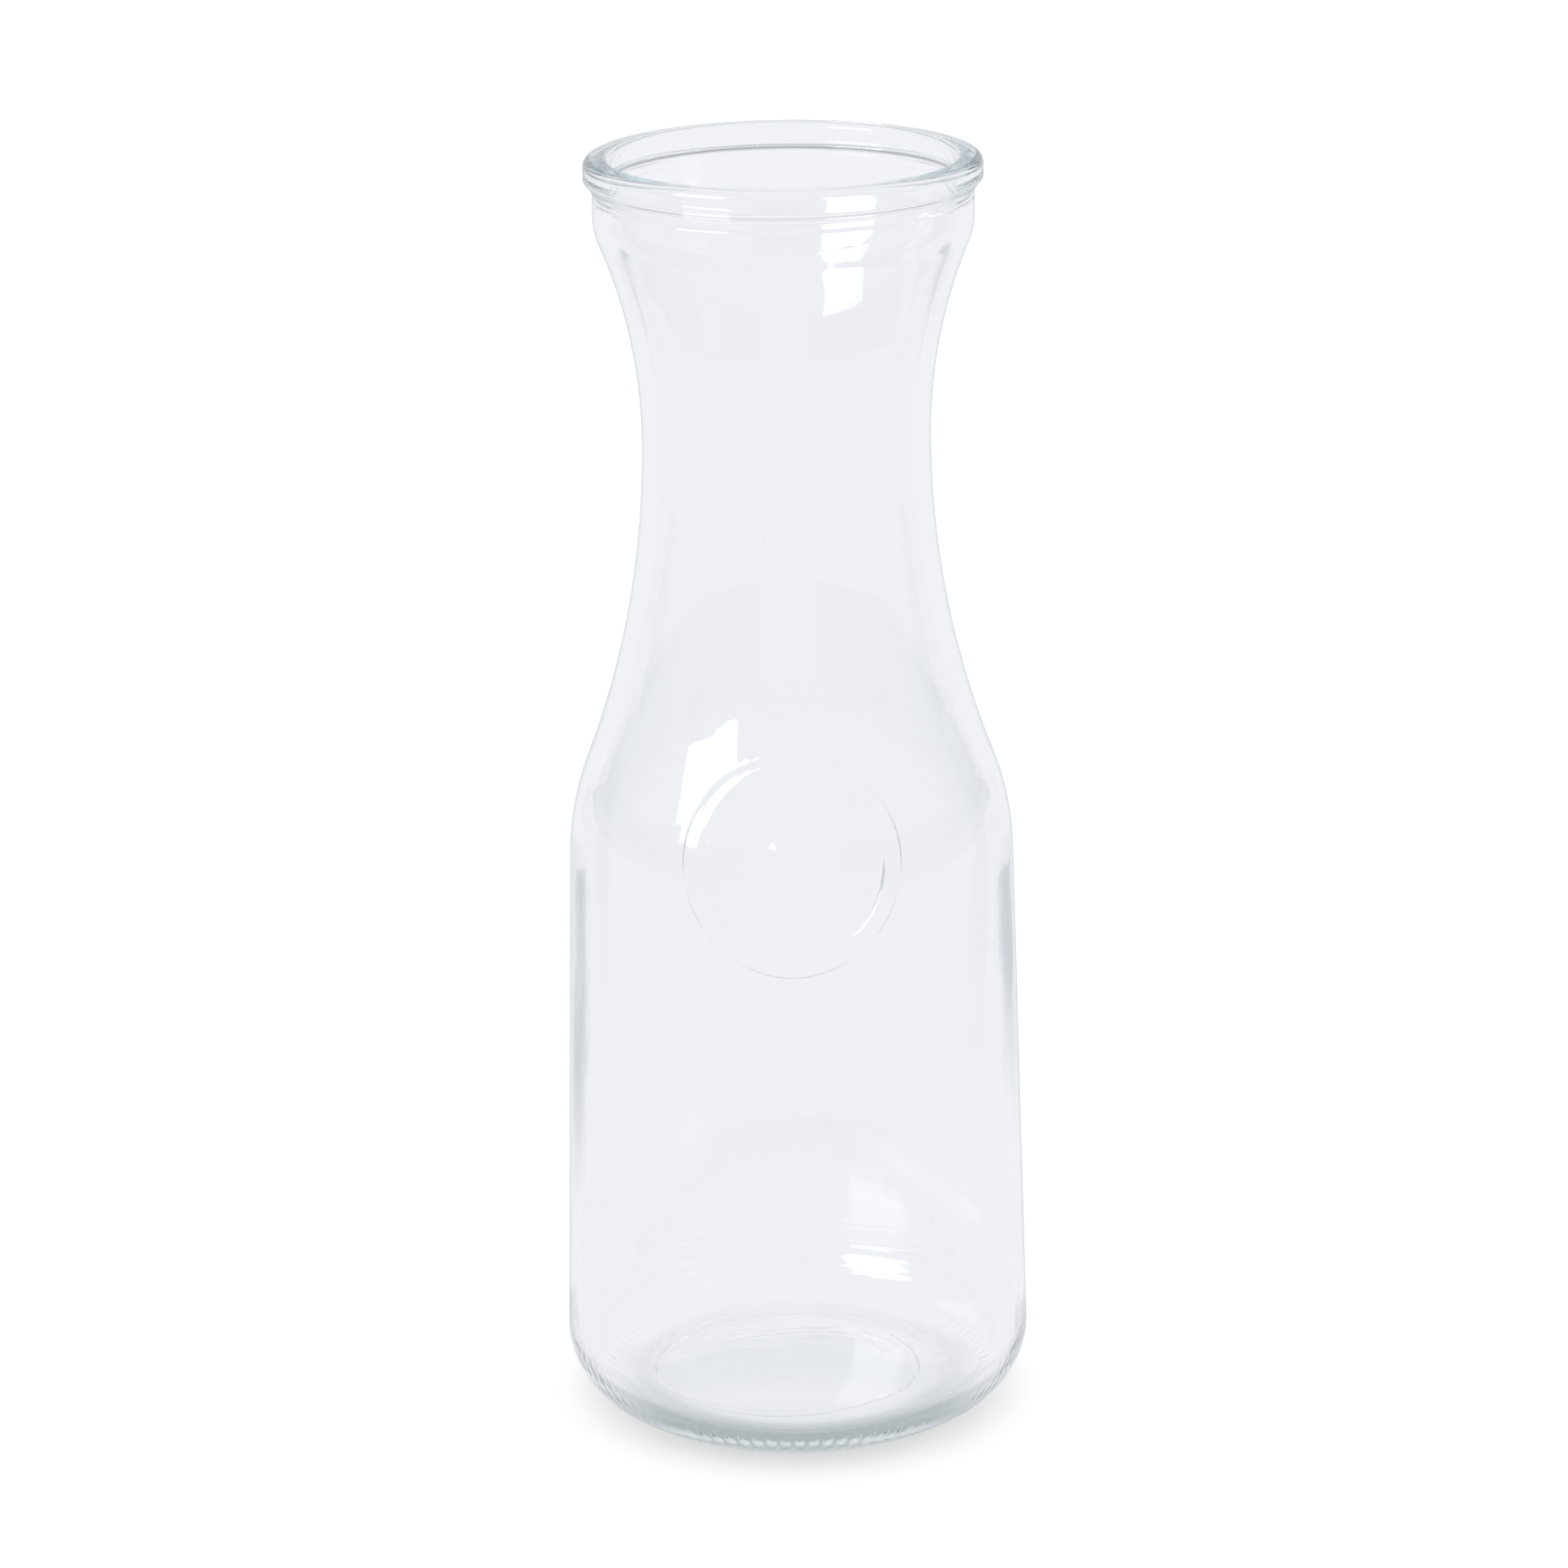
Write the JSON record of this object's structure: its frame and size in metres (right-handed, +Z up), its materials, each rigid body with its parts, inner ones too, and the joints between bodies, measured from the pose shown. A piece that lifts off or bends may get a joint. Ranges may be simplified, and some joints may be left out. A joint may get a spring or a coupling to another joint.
{
  "type": "water carafe",
  "caption": "Clear glass water carafe with a tapered body, a narrow waist, a flared mouth with a beaded rim and a blank round plate on the shoulder.",
  "frame": {"origin": "on the carafe's axis, in the plane of the flat ring that stands on the table", "axes": "+Z up along the axis, out of the mouth; -Y out of the blank round plate on the shoulder; +X to the right when the plate is seen from the front"},
  "size_m": [0.0954, 0.0954, 0.26],
  "materials": {
    "clear_glass": "fire-polished, clear, with a faint blue-green tint in thick glass"
  },
  "bodies": {
    "root": {"glass_carafe": "clear_glass"}
  },
  "joints": []
}
